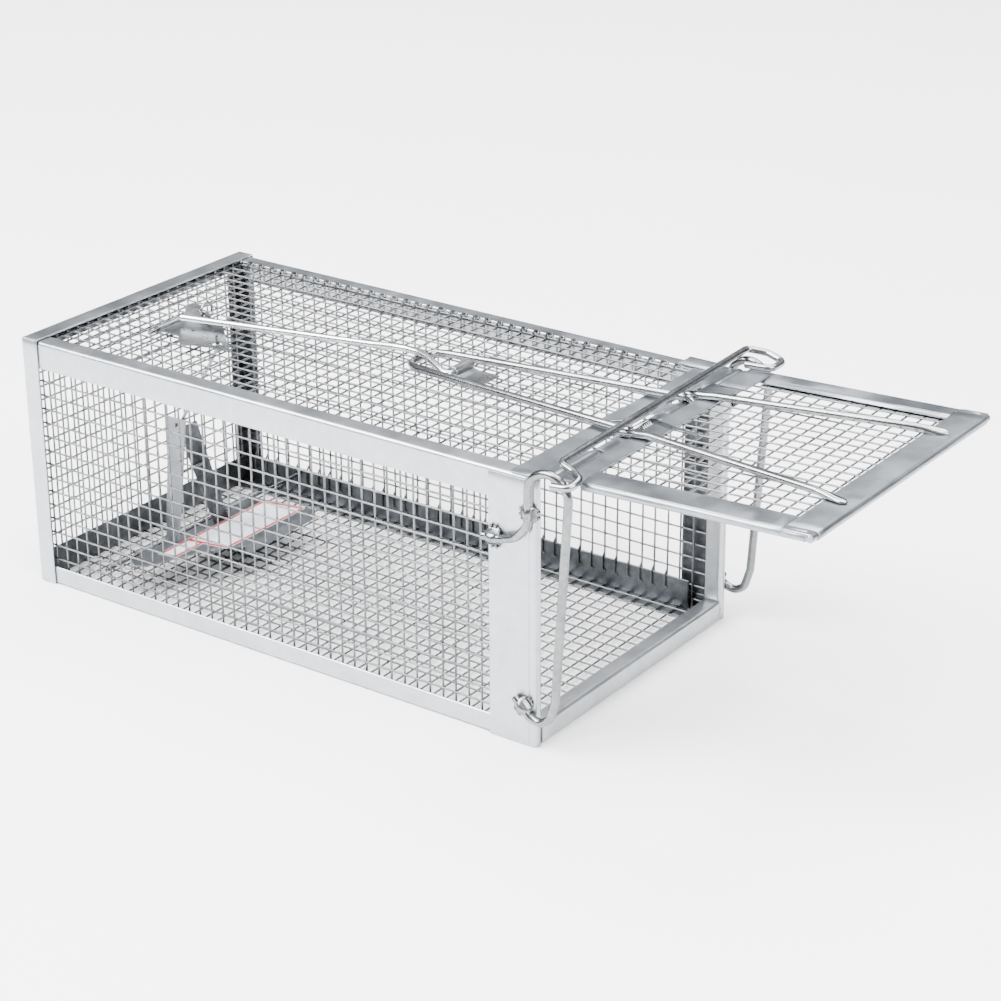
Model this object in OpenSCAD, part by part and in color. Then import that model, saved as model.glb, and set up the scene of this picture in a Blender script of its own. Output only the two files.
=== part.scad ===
// Spring door cage trap for live rodents, set and open.
// X runs from the rear wall to the door, Y from the near side to the far side, Z up.
// Helper shapes use cage axes: X from the rear wall, Y from the middle, Z from the ground.

/* [Cage] */
// Outside length of the cage without the door
cage_l = 265; // [240:1:320]
// Outside width of the cage
cage_w = 138; // [130:1:170]
// Height of the cage to the top of its rails
cage_h = 112; // [108:1:140]
// Thickness of the folded sheet
sheet_t = 0.8; // [0.7:0.05:1]
// Height of the outer legs of the top rails
top_leg_h = 12; // [8:0.5:16]
// Height of the outer legs of the bottom rails
bottom_leg_h = 8; // [6:0.5:14]
// Length of the flanges of the rear cap
cap_flange = 9; // [6:0.5:14]
// Width of the front posts
post_w = 22; // [18:0.5:28]

/* [Mesh] */
// Pitch of the welded wire mesh
mesh_pitch = 6.35; // [5:0.05:12.7]
// Diameter of a mesh wire
mesh_wire = 0.85; // [0.6:0.05:1]

/* [Door] */
// Height of the hinge axis above the ground
hinge_z = 112.4; // [112.2:0.1:113]
// Length of the door from the hinge axis to its free edge
door_l = 110; // [100:0.5:110]
// Angle by which the open door points up
door_tilt = 2.3; // [0:0.1:4]
// Radius of the hinge rod
hinge_r = 1.5; // [1.2:0.05:1.6]
// Radius of the lever wire
lever_r = 1.6; // [1.3:0.05:1.8]
// Reach of the lever behind the hinge
lever_reach = 114.5; // [100:0.5:120]

/* [Lock and trigger] */
// Radius of the lock bar
lock_r = 1.5; // [1.2:0.05:1.6]
// Radius of the guide wires
guide_r = 1.75; // [1.5:0.05:2]
// Radius of the hold-down rod
rod_r = 1.45; // [1.2:0.05:1.6]
// Angle between the raised treadle and the floor
treadle_tilt = 5; // [3:0.5:6]

/* [Hidden] */
$fn = 48;

gap = 0.1;                              // slip between parts that lie on each other
run = 0.08;                             // radial clearance of a running fit
half_w = cage_w / 2;
mesh_t = 2 * mesh_wire + gap;           // two layers of wires
hinge_x = cage_l + 5.3;
door_front = hinge_x + door_l * cos(door_tilt);
origin_x = (door_front + 0.3) / 2;      // middle of the box round the open trap

// Inner faces of the side panels
side_in = half_w - sheet_t - gap - mesh_t;
mesh_top = cage_h - sheet_t - gap;

// Hinge, lever and lock
eye_w = 2 * lever_r * 2 + 0.2;
eye_y = [-18.5, 26.5];
lever_top = hinge_r + run + lever_r + 0.15;
eye_out = lever_top + lever_r + 0.15;
knuckle_out = hinge_r + run + sheet_t;
u_y = [-5.5, 12.5];
lever_end_z = cage_h + lever_r + 0.4;
lock_x = hinge_x - 2;
lock_z = hinge_z + eye_out + lock_r + 0.55;

// Guide wires and clips
guide_y = half_w + sheet_t + gap + guide_r + gap;
guide_x = cage_l - 2.4;
guide_top_z = cage_h + 4.6;
arch_r = 9;
clip_at = [[cage_l - 18.8, cage_h - 27, 4.3], [guide_x, cage_h - 13.4, 90], [cage_l - 5.2, 17.2, -45]];

// Hold-down rod
rod_z = lever_end_z + lever_r + rod_r + 0.25;
rod_pivot = [177, cage_h + 2.2];
crank_y = -5.5;
bracket_y = crank_y + 2.6;
rod_tip = [48.5, -22.4];

// Catch, link and treadle
catch_x = 44;
catch_z = cage_h + 1.9;
pivot_wire_r = 0.9;
link_r = 0.7;
link_top = [76.5, -31.75, cage_h + 0.2];
apex = [48, -28, 70];
treadle_x = 36;
treadle_z = 12;
label_boxes = [[[45, -24], [69, 29]], [[45, -42], [55, -23.9]]];

module place() {
    translate([-origin_x, 0, 0]) children();
}

function unit(v) = v / norm(v);

function pick(value, i) = is_list(value) ? value[i] : value;

// Round bar of length h from p in the direction along.
module bar(p, along, h, r) {
    translate(p) rotate([0, acos(along[2]), atan2(along[1], along[0])]) cylinder(h = h, r = r);
}

// Round bar through the points, bent at each corner. bend is the radius of the bent centre line,
// one for all corners or one for each. Thin collars close the joints of bends and straight lengths.
module wire(points, r, bend) {
    last = len(points) - 1;
    dirs = [for (i = [0:last - 1]) unit(points[i + 1] - points[i])];
    trims = [for (i = [0:last])
        i == 0 || i == last ? 0 : pick(bend, i - 1) * tan(acos(dirs[i - 1] * dirs[i]) / 2)];
    for (i = [0:last - 1]) {
        start = points[i] + dirs[i] * trims[i];
        end = points[i + 1] - dirs[i] * trims[i + 1];
        bar(start, dirs[i], norm(end - start), r);
        if (i > 0) bar(start - dirs[i] * 0.15, dirs[i], 0.3, r + 0.05);
        if (i < last - 1) bar(end - dirs[i] * 0.15, dirs[i], 0.3, r + 0.05);
    }
    for (i = [1:last - 1]) elbow(points[i], dirs[i - 1], dirs[i], r, pick(bend, i - 1));
}

// Bent length of the bar at corner p, from direction a to direction b.
module elbow(p, a, b, r, bend) {
    axis = unit(cross(a, b));
    out = cross(a, axis);
    lean = acos(axis[2]);
    turn = atan2(axis[1], axis[0]);
    across = [cos(lean) * cos(turn), cos(lean) * sin(turn), -sin(lean)];
    level = [-sin(turn), cos(turn), 0];
    translate(p - a * bend * tan(acos(a * b) / 2) - out * bend)
        rotate([0, lean, turn])
            rotate([0, 0, atan2(out * level, out * across)])
                rotate_extrude(angle = acos(a * b)) translate([bend, 0]) circle(r = r);
}

// A box from its lowest corner to its highest corner.
module block(low, high) {
    translate(low) cube(high - low);
}

// Flat ladder of parallel bars along Y in a frame: one layer of the welded mesh.
module ladder(w, h, border) {
    n = floor((w - 2 * border) / mesh_pitch);
    side = (w - n * mesh_pitch - mesh_wire) / 2;
    linear_extrude(height = mesh_wire)
        difference() {
            square([w, h]);
            for (i = [0:n - 1])
                translate([side + mesh_wire + i * mesh_pitch, border])
                    square([mesh_pitch - mesh_wire, h - 2 * border]);
        }
}

// Welded mesh panel, w along X and h along Y: two crossed ladders joined at their hem.
module mesh_panel(w, h, border = 3) {
    ladder(w, h, border);
    translate([0, h, mesh_wire + gap]) rotate([0, 0, -90]) ladder(h, w, border);
    translate([0, 0, mesh_wire - 0.1])
        linear_extrude(height = gap + 0.2)
            difference() {
                square([w, h]);
                translate([border - 1, border - 1]) square([w - 2 * border + 2, h - 2 * border + 2]);
            }
}

module side_mesh() {
    translate([2 * sheet_t + mesh_t + 0.2, -half_w + sheet_t + gap + mesh_t, sheet_t + gap])
        rotate([90, 0, 0])
            mesh_panel(cage_l - 3.5 - 2 * sheet_t - mesh_t - 0.2, mesh_top - sheet_t - gap);
}

module near_side_mesh() {
    color("gainsboro") place() side_mesh();
}

module far_side_mesh() {
    color("gainsboro") place() mirror([0, 1, 0]) side_mesh();
}

module floor_mesh() {
    start = 2 * sheet_t + mesh_t + sheet_t + 0.3;
    color("silver") place()
        translate([start, -side_in + sheet_t + 0.2, sheet_t + gap])
            mesh_panel(cage_l - 7.5 - start, 2 * (side_in - sheet_t - 0.2));
}

module top_mesh() {
    start = 2 * sheet_t + mesh_t + 0.2;
    color("lightsteelblue") place()
        translate([start, -side_in + gap, mesh_top - mesh_t])
            mesh_panel(cage_l - 11.5 - start, 2 * (side_in - gap));
}

module rear_mesh() {
    low = sheet_t + gap;
    color("lightsteelblue") place()
        translate([sheet_t + gap, -half_w + 0.1, low])
            rotate([90, 0, 90]) mesh_panel(cage_w - 0.2, cage_h - low);
}

module top_rail() {
    start = 2 * sheet_t + mesh_t + 0.2;
    block([start, -half_w, cage_h - top_leg_h], [cage_l - 3.5, -half_w + sheet_t, cage_h]);
    block([start, -half_w, cage_h - sheet_t], [cage_l - 3.5, -half_w + 8, cage_h]);
}

module near_top_rail() {
    color("lightgray") place() top_rail();
}

module far_top_rail() {
    color("lightgray") place() mirror([0, 1, 0]) top_rail();
}

module bottom_rail() {
    start = 2 * sheet_t + mesh_t + 0.2;
    block([start, -half_w, 0], [cage_l - 3.5, -half_w + sheet_t, bottom_leg_h]);
    block([start, -half_w, 0], [cage_l - 16.1, -half_w + 11, sheet_t]);
    block([start, -side_in + gap, 0], [cage_l - 16.1, -side_in + gap + sheet_t, 14]);
}

module near_bottom_rail() {
    color("lightgray") place() bottom_rail();
}

module far_bottom_rail() {
    color("lightgray") place() mirror([0, 1, 0]) bottom_rail();
}

// Shallow tray over the rear end: a face with a window, a top flange and two side flanges.
module rear_cap() {
    out = half_w + gap + sheet_t;
    high = cage_h + gap + sheet_t;
    color("lightsteelblue") place() {
        difference() {
            block([0, -out, 0], [sheet_t, out, high]);
            block([-1, -half_w + 8, 8], [sheet_t + 1, half_w - 8, cage_h - 8]);
        }
        block([0, -out, high - sheet_t], [cap_flange, out, high]);
        for (side = [-1, 1])
            translate([0, side * (out - sheet_t / 2) - sheet_t / 2, 0]) cube([cap_flange, sheet_t, high]);
    }
}

module rear_inner_strip() {
    start = 2 * sheet_t + mesh_t + 0.2;
    color("dimgray") place()
        block([start, -side_in + sheet_t + 0.2, sheet_t + gap], [start + sheet_t, side_in - sheet_t - 0.2, 14]);
}

// Front post: an outer plate, a rolled bead along the door opening and a return inside.
module front_post() {
    bead_r = 1.6;
    out = half_w + gap + sheet_t;
    block([cage_l - post_w, -out, 0], [cage_l - bead_r, -out + sheet_t, cage_h]);
    translate([cage_l - bead_r, -out + bead_r, 0]) cylinder(h = cage_h, r = bead_r);
    block([cage_l - 8, -side_in + gap, 0], [cage_l - bead_r, -side_in + gap + sheet_t, mesh_top]);
    block([cage_l - bead_r - 1, -out + bead_r, 0], [cage_l - bead_r + 0.6, -side_in + gap + sheet_t, mesh_top]);
}

module near_front_post() {
    color("gainsboro") place() front_post();
}

module far_front_post() {
    color("gainsboro") place() mirror([0, 1, 0]) front_post();
}

// Sill below the door opening, folded to a C.
module front_sill() {
    y = side_in - sheet_t - 0.2;
    color("lightgray") place() {
        block([cage_l - 16, -y, 0], [cage_l, y, sheet_t]);
        block([cage_l - sheet_t, -y, 0], [cage_l, y, 9]);
        block([cage_l - 7, -y, 9 - sheet_t], [cage_l, y, 9]);
    }
}

// Tube round the hinge rod, from y0 to y1.
module knuckle(y0, y1, out) {
    translate([hinge_x, y0, hinge_z])
        rotate([-90, 0, 0]) cylinder(h = y1 - y0, r = out);
}

module hinge_bore(out = hinge_r + run) {
    translate([hinge_x, -half_w - 5, hinge_z])
        rotate([-90, 0, 0]) cylinder(h = cage_w + 10, r = out);
}

// Strip across the top front edge, curled round the hinge rod at three places.
module top_front_strip() {
    z = cage_h + gap;
    spans = [[-66, -38], [8, 20], [46, 66]];
    color("slategray") place()
        difference() {
            union() {
                block([cage_l - 12.6, -half_w, z], [cage_l - 0.5, half_w, z + sheet_t]);
                for (s = spans) {
                    block([cage_l - 1, s[0], z], [hinge_x, s[1], z + sheet_t]);
                    knuckle(s[0], s[1], knuckle_out);
                }
                block([cage_l - 20, half_w - 9, z + sheet_t], [cage_l - 4, half_w, z + 2 * sheet_t]);
            }
            hinge_bore();
        }
}

module hinge_rod() {
    color("whitesmoke") place()
        translate([hinge_x, -66.5, hinge_z])
            rotate([-90, 0, 0]) cylinder(h = 133, r = hinge_r);
}

// Guide wire: tail, upright, arch over the lock bar, long front leg and a foot that turns back.
module guide_wire() {
    y = -guide_y;
    wire([
        [cage_l - 23, y, cage_h - 27.3], [cage_l - 15, y, cage_h - 26.7], [cage_l - 8, y, cage_h - 24.5],
        [guide_x, y, cage_h - 18.2], [guide_x, y, guide_top_z], [guide_x + 2 * arch_r + 0.8, y, guide_top_z],
        [cage_l + 10, y, 24], [cage_l + 7.5, y, 15.5], [cage_l + 3, y, 12.5],
        [cage_l - 2, y, 14], [cage_l - 8.5, y, 20.5]
    ], guide_r, [5, 5, 5, arch_r - 0.3, arch_r - 0.3, 5, 5, 5, 5]);
}

module near_guide_wire() {
    color("whitesmoke") place() guide_wire();
}

module far_guide_wire() {
    color("whitesmoke") place() mirror([0, 1, 0]) guide_wire();
}

// Saddle clip: a bridge over the wire and two ears on the post. The wire runs at angle turn.
module clip(x, z, turn) {
    inner = guide_r + 0.12;
    outer = inner + 0.9;
    back = half_w + sheet_t + 2 * gap;
    translate([x, -guide_y, z])
        rotate([0, -turn, 0])
            difference() {
                union() {
                    rotate([0, 90, 0]) translate([0, 0, -3]) cylinder(h = 6, r = outer);
                    translate([-3, guide_y - back - 0.9, -4.8]) cube([6, 0.9, 9.6]);
                }
                rotate([0, 90, 0]) translate([0, 0, -4]) cylinder(h = 8, r = inner);
                translate([-4, 0, -inner]) cube([8, 4, 2 * inner]);
                translate([-4, guide_y - back, -8]) cube([8, 4, 16]);
            }
}

module near_guide_clips() {
    color("silver") place()
        for (c = clip_at) clip(c[0], c[1], c[2]);
}

module far_guide_clips() {
    color("silver") place() mirror([0, 1, 0])
        for (c = clip_at) clip(c[0], c[1], c[2]);
}

// Bracket on the roof: a base plate with a rolled tunnel for the end of the hold-down rod.
module rod_bracket() {
    color("silver") place()
        difference() {
            union() {
                block([173, bracket_y, cage_h - 0.4], [192, bracket_y + 12, cage_h + 0.4]);
                translate([rod_pivot[0], bracket_y, rod_pivot[1]])
                    rotate([-90, 0, 0]) cylinder(h = 12, r = rod_r + run + sheet_t);
            }
            translate([rod_pivot[0], bracket_y - 1, rod_pivot[1]])
                rotate([-90, 0, 0]) cylinder(h = 14, r = rod_r + run);
        }
}

// Wire that the catch plate turns on, laid across the roof mesh.
module catch_pivot_wire() {
    color("silver") place()
        translate([catch_x, -38, catch_z])
            rotate([-90, 0, 0]) cylinder(h = 26, r = pivot_wire_r);
}

// Wire that the treadle turns on, from one bottom rail to the other.
module treadle_hinge_wire() {
    y = side_in - sheet_t - 0.3;
    color("silver") place()
        translate([treadle_x, -y, treadle_z])
            rotate([-90, 0, 0]) cylinder(h = 2 * y, r = pivot_wire_r);
}

// Everything on the door is drawn level and then turned up to the open pose.
module on_door() {
    place()
        translate([hinge_x, 0, hinge_z])
            rotate([0, -door_tilt, 0])
                children();
}

door_half = half_w - 0.3;
door_low = -1.2;
door_mesh_z = door_low + sheet_t + gap;

module door_mesh() {
    color("gainsboro") on_door()
        translate([5.3, -door_half + 4.5, door_mesh_z])
            mesh_panel(door_l - 9.3, 2 * door_half - 9);
}

// Side rail of the door: folded round the edge of the mesh, with a flange on top of it.
module door_rail(wide) {
    bead_r = 1.8;
    x0 = 13.2;
    x1 = door_l - 3.6;
    top = door_mesh_z + mesh_t + gap;
    block([x0, -door_half + bead_r, door_low], [x1, -door_half + 9, door_low + sheet_t]);
    block([x0, -door_half + bead_r, top], [door_l - 13.3, -door_half + wide, top + sheet_t]);
    translate([x0, -door_half + bead_r, door_low + bead_r])
        rotate([0, 90, 0]) cylinder(h = x1 - x0, r = bead_r);
}

module door_near_rail() {
    color("lightsteelblue") on_door() door_rail(14);
}

module door_far_rail() {
    color("lightsteelblue") on_door() mirror([0, 1, 0]) door_rail(11);
}

// Wide strip at the free end, folded over the mesh, with a bead along its edge.
module door_free_rail() {
    bead_r = 1.5;
    top = door_mesh_z + mesh_t + gap;
    color("lightsteelblue") on_door() {
        block([door_l - 13, -door_half + 9.2, door_low], [door_l - bead_r, door_half - 9.2, door_low + sheet_t]);
        block([door_l - 13, -door_half + 4, top], [door_l - bead_r, door_half - 4, top + sheet_t]);
        translate([door_l - bead_r, -door_half, door_low + 1.9])
            rotate([-90, 0, 0]) cylinder(h = 2 * door_half, r = bead_r + 0.35);
    }
}

// Strip at the hinge end, over the mesh, curled round the hinge rod between the fixed knuckles.
module door_hinge_strip() {
    top = door_mesh_z + mesh_t + gap;
    spans = [[-37.6, -23], [-1, 7.6], [31.5, 45.6]];
    color("slategray") place()
        difference() {
            translate([hinge_x, 0, hinge_z]) rotate([0, -door_tilt, 0]) {
                block([4, -door_half, top], [13, door_half, top + sheet_t]);
                for (s = spans) {
                    block([1, s[0], top], [4.5, s[1], top + sheet_t]);
                    translate([0, s[0], 0]) rotate([-90, 0, 0]) cylinder(h = s[1] - s[0], r = knuckle_out);
                }
            }
            for (y = eye_y) translate([hinge_x, y - eye_w / 2 - 0.3, hinge_z]) cube([5.4, eye_w + 0.6, 5]);
            hinge_bore();
        }
}

// Small plate lapped over the far corner of the hinge strip.
module door_corner_lap() {
    top = door_mesh_z + mesh_t + 2 * gap + sheet_t;
    color("slategray") on_door() block([4, door_half - 25, top], [16, door_half - 6, top + sheet_t]);
}

// One wire: welded to the free end, an eye round the hinge rod, an arm back to the U end, and
// the same again on the far side.
module lever_wire() {
    top = door_mesh_z + mesh_t + gap + sheet_t + lever_r + 0.2;
    end_z = lever_end_z - hinge_z;
    back = [-lever_reach * cos(door_tilt) + end_z * sin(door_tilt), 0,
            lever_reach * sin(door_tilt) + end_z * cos(door_tilt)];
    color("whitesmoke") on_door()
        difference() {
            union() {
                wire([
                    [door_l - 6, -38, top], [4.5, eye_y[0] - 0.3, top], [0, eye_y[0], lever_top],
                    back + [7, u_y[0] - 2.1, -0.02], back + [1.8, u_y[0] + 0.7, 0], back + [0, u_y[0] + 4, 0],
                    back + [0, u_y[1] - 4, 0], back + [1.8, u_y[1] - 0.7, 0], back + [7, u_y[1] + 0.8, -0.02],
                    [0, eye_y[1], lever_top], [4.5, eye_y[1] + 0.3, top], [door_l - 6, 40, top]
                ], lever_r, 4);
                for (y = eye_y)
                    translate([0, y - eye_w / 2, 0]) rotate([-90, 0, 0]) cylinder(h = eye_w, r = eye_out);
            }
            translate([0, -half_w, 0]) rotate([-90, 0, 0]) cylinder(h = cage_w, r = hinge_r + run);
        }
}

// Envelope of the torsion spring round the hinge rod.
module door_spring() {
    color("silver") place()
        difference() {
            translate([hinge_x, -14, hinge_z]) rotate([-90, 0, 0]) cylinder(h = 12.5, r = 2.9);
            hinge_bore(hinge_r + 0.45);
        }
}

// Bar that falls in front of the shut door, with a hook round the front leg of each guide wire.
// The near hook has its tip on the outer side, the far one on the inner side. The bar lies skew.
module lock_bar() {
    x = lock_x;
    front = guide_x + 2 * arch_r + guide_r + lock_r + 0.95;
    tip_y = guide_y + guide_r + lock_r + 2.3;
    near = [
        [front - 7.8, -tip_y, lock_z - 4.3], [front, 0.6 - tip_y, lock_z - 3.7],
        [front, 1.25 - guide_y, lock_z - 2.1], [front - 5, 4.35 - guide_y, lock_z - 1.3],
        [x + 4.4, 6.25 - guide_y, lock_z - 0.1]
    ];
    far = [
        [x + 0.2, tip_y - 3, lock_z + 0.8], [x + 8, tip_y, lock_z - 0.3],
        [front, tip_y - 1.3, lock_z - 2], [front, guide_y - 5.2, lock_z - 2.1],
        [x + 5.2, guide_y - 6.6, lock_z - 2.2]
    ];
    color("white") place() wire(concat(near, far), lock_r, [2.5, 2.5, 8, 2.5, 2.5, 8, 2.5, 2.5]);
}

// Rod that holds the lever down: its cranked end is a pin in the bracket.
module hold_down_rod() {
    p = rod_pivot;
    color("white") place()
        wire([
            [rod_tip[0], rod_tip[1], rod_z], [149, 1.8, rod_z], [160, 0.8, rod_z],
            [p[0], crank_y, p[1]], [p[0], bracket_y + 11.5, p[1]]
        ], rod_r, [12, 12, 1.8]);
}

// Stamped plate of the catch: a curl round its pivot wire, a raised flange with a lip, and holes.
module catch_plate() {
    plate_z = catch_z - 0.4;
    outline = [[44, -33], [44, -19], [61, -11], [85, -34], [69, -38], [64, -41], [56, -33]];
    color("lightsteelblue") place()
        difference() {
            union() {
                translate([0, 0, plate_z]) linear_extrude(height = sheet_t) polygon(outline);
                translate([catch_x, -33, catch_z])
                    rotate([-90, 0, 0]) cylinder(h = 14, r = pivot_wire_r + run + sheet_t);
                block([46, -17.3, plate_z], [60, -16.5, plate_z + 6]);
                block([46, -17.3, plate_z], [52.5, -16.5, plate_z + 7]);
                block([46, -17.3, plate_z + 7 - sheet_t], [52.5, -12.5, plate_z + 7]);
            }
            translate([catch_x, -60, catch_z]) rotate([-90, 0, 0]) cylinder(h = 80, r = pivot_wire_r + run);
            translate([link_top[0], link_top[1], plate_z - 2]) cylinder(h = 5, r = 2.4);
            translate([52, -26, plate_z - 2]) cylinder(h = 5, r = 0.8);
            translate([58, -26, plate_z - 2]) cylinder(h = 5, r = 0.8);
            translate([56, -20, plate_z + 3.6]) rotate([-90, 0, 0]) cylinder(h = 6, r = 1.4);
        }
}

// Finger ring through the flange of the catch.
module catch_ring() {
    color("whitesmoke") place()
        translate([56, -14.8, catch_z + 5.9])
            rotate([0, 90, 0]) rotate_extrude() translate([3.4, 0]) circle(r = 0.6);
}

// Link wire from the yoke to the catch plate.
module trigger_link() {
    color("silver") place()
        wire([
            [apex[0], apex[1] - 2.5, apex[2]], [apex[0], apex[1] + 1.5, apex[2]],
            link_top, [link_top[0], link_top[1], cage_h + 5.5]
        ], link_r, [1.5, 3]);
}

// Treadle parts are drawn level and turned up about the hinge wire.
module on_treadle() {
    place()
        translate([treadle_x, 0, treadle_z])
            rotate([0, -treadle_tilt, 0])
                children();
}

// Pressed pedal: a wide plate with an arm to the near side, a front lip and two hinge curls.
module treadle_plate() {
    outline = [[2, -52], [2, 30], [38, 30], [38, -17], [28, -24], [13, -54], [8, -56]];
    color("lightgray") on_treadle()
        difference() {
            union() {
                translate([0, 0, -0.4]) linear_extrude(height = sheet_t) polygon(outline);
                block([37.2, -17, -4], [38, 30, 0.4]);
                for (y = [-46, 14]) {
                    block([0, y, -0.4], [3, y + 12, 0.4]);
                    translate([0, y, 0]) rotate([-90, 0, 0]) cylinder(h = 12, r = pivot_wire_r + run + sheet_t);
                }
            }
            translate([0, -70, 0]) rotate([-90, 0, 0]) cylinder(h = 140, r = pivot_wire_r + run);
        }
}

// Blank label with no lettering: a wide part and a narrow tail towards the near side.
module treadle_label() {
    color("white") on_treadle()
        for (b = label_boxes)
            block([b[0][0] - treadle_x, b[0][1], 0.4], [b[1][0] - treadle_x, b[1][1], 0.55]);
}

// Light leg of the yoke, a tapered strip that faces the near side.
module yoke_leg() {
    y = apex[1];
    lean = apex[0] - treadle_x;
    rise = apex[2] - treadle_z;
    color("silver") on_treadle()
        rotate([0, treadle_tilt, 0])
            difference() {
                translate([0, y, 0]) rotate([90, 0, 0]) linear_extrude(height = sheet_t)
                    polygon([[1.6, 1.2], [9, 1.5], [lean + 5, rise + 3], [lean - 5, rise + 3]]);
                translate([lean, y - 2, rise]) rotate([-90, 0, 0]) cylinder(h = 4, r = link_r + 0.5);
            }
}

// Dark arm of the yoke, a slanting strip that faces the door.
module yoke_arm() {
    x = apex[0] - treadle_x;
    rise = apex[2] - treadle_z;
    color("gray") on_treadle()
        rotate([0, treadle_tilt, 0])
            translate([x - 5.6, 0, 0]) rotate([90, 0, 90]) linear_extrude(height = sheet_t)
                polygon([[-3, 1.2], [6, 1.2], [-11, rise - 5], [-20, rise - 5], [-17, rise - 20]]);
}

// Cross wire that ties the two strips of the yoke.
module yoke_cross_wire() {
    x = apex[0] - treadle_x;
    color("gray") on_treadle()
        rotate([0, treadle_tilt, 0])
            translate([x - 4, apex[1] + 0.1, 33])
                rotate([-90, 0, 0]) cylinder(h = -9.1 - apex[1], r = 0.7);
}

near_side_mesh();
far_side_mesh();
floor_mesh();
top_mesh();
rear_mesh();
near_top_rail();
far_top_rail();
near_bottom_rail();
far_bottom_rail();
rear_cap();
rear_inner_strip();
near_front_post();
far_front_post();
front_sill();
top_front_strip();
hinge_rod();
near_guide_wire();
far_guide_wire();
near_guide_clips();
far_guide_clips();
rod_bracket();
catch_pivot_wire();
treadle_hinge_wire();
door_mesh();
door_near_rail();
door_far_rail();
door_free_rail();
door_hinge_strip();
door_corner_lap();
lever_wire();
door_spring();
lock_bar();
hold_down_rod();
catch_plate();
catch_ring();
trigger_link();
treadle_plate();
treadle_label();
yoke_leg();
yoke_arm();
yoke_cross_wire();
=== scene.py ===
"""Spring door cage trap, set and open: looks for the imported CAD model.

Lengths are in mm on cage axes (X from the rear wall, Y from the middle with the near side
negative, Z from the ground) until place functions turn them into the row frame in metres.
"""
import math
import random

import bmesh
import bpy
from mathutils import Matrix, Vector, noise


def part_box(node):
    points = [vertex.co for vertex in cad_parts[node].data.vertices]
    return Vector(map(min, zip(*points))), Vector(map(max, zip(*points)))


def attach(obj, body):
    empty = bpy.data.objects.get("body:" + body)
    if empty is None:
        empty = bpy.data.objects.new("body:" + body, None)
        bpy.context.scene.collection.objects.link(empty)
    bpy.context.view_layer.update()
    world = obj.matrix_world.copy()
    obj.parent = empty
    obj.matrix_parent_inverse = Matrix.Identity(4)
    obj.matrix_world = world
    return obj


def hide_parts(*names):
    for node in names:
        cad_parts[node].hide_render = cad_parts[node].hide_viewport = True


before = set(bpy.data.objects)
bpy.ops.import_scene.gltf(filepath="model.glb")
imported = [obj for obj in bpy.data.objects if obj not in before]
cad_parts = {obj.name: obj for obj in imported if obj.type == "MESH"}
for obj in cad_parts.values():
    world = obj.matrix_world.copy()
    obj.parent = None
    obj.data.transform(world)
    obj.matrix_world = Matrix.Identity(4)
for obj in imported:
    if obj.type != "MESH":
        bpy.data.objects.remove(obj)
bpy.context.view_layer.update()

MM = 0.001
SIDES = (("near", -1), ("far", 1))
SHEET = 0.8  # thickness of the folded sheet
CURL_SHEET = 0.78  # thickness of the sheet where it curls round the hinge rod
PITCH = 6.35  # pitch of the welded mesh
MESH_WIRE = 0.85  # diameter of a mesh wire
TIP_REACH, TIP_SIZE = 0.3, 0.72  # rounded tip of a bar, as parts of its radius
EDGE_REACH, EDGE_SIZE = 0.22, 0.62  # softened cut edge of a sheet: depth in mm, and part of its thickness
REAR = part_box("rear_cap")[0].x


def middle(node):
    """Middle of a CAD node's box on cage axes, in mm."""
    low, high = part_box(node)
    mid = (low + high) / 2
    return Vector(((mid.x - REAR) / MM, mid.y / MM, mid.z / MM))


HINGE = middle("hinge_rod")
DOOR_TILT = math.radians(2.3)  # rise of the open door


# ---------------------------------------------------------------- places

def cage(x, y, z):
    """Point of the row frame at x, y, z on cage axes."""
    return Vector((REAR + x * MM, y * MM, z * MM))


def door(x, y, z):
    """Point of the row frame at x, y, z on the open door's axes, which start at the hinge."""
    return cage(HINGE.x + x * math.cos(DOOR_TILT) - z * math.sin(DOOR_TILT), y,
                HINGE.z + x * math.sin(DOOR_TILT) + z * math.cos(DOOR_TILT))


def along_x(place=cage, side=1):
    """Place function of a section in Y and Z that runs along X."""
    return lambda a, b, s: place(s, side * a, b)


def along_y(place=cage):
    """Place function of a section in X and Z that runs along Y."""
    return lambda a, b, s: place(a, s, b)


def along_z(side):
    """Place function of a section in X and Y that runs up the cage."""
    return lambda a, b, s: cage(a, side * b, s)


def facing_x(a, b, s):
    """Place of a plate in Y and Z that lies across the cage."""
    return cage(s, a, b)


# ---------------------------------------------------------------- lines

def flat(points):
    """Pairs as vectors in one plane."""
    return [Vector((a, b, 0)) for a, b in points]


def rounded(points, radius, steps=5):
    """The points with each inner corner turned into an arc of that radius, with more steps on a wide turn."""
    points = [Vector(p) for p in points]
    out = [points[0]]
    for a, p, b in zip(points, points[1:], points[2:]):
        u, v = (p - a).normalized(), (b - p).normalized()
        turn = u.angle(v, 0)
        if turn < 0.02:
            out.append(p)
            continue
        reach = min(radius * math.tan(turn / 2), 0.48 * (p - a).length, 0.48 * (b - p).length)
        r = reach / math.tan(turn / 2)
        n = (v - u * math.cos(turn)).normalized()
        centre = p - u * reach + n * r
        count = max(2, round(steps * turn / 1.2))
        for k in range(count + 1):
            t = turn * k / count
            out.append(centre - n * r * math.cos(t) + u * r * math.sin(t))
    out.append(points[-1])
    return out


def arc(cx, cz, r, start, end, steps=12):
    """Points on a circle from start to end, in degrees."""
    return [(cx + r * math.cos(math.radians(start + (end - start) * k / steps)),
             cz + r * math.sin(math.radians(start + (end - start) * k / steps)))
            for k in range(steps + 1)]


# ---------------------------------------------------------------- shapes

def bands(rings, size):
    """Faces between each ring of size vertices and the next ring."""
    return [[j * size + k, j * size + (k + 1) % size, (j + 1) * size + (k + 1) % size, (j + 1) * size + k]
            for j in range(rings - 1) for k in range(size)]


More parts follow.
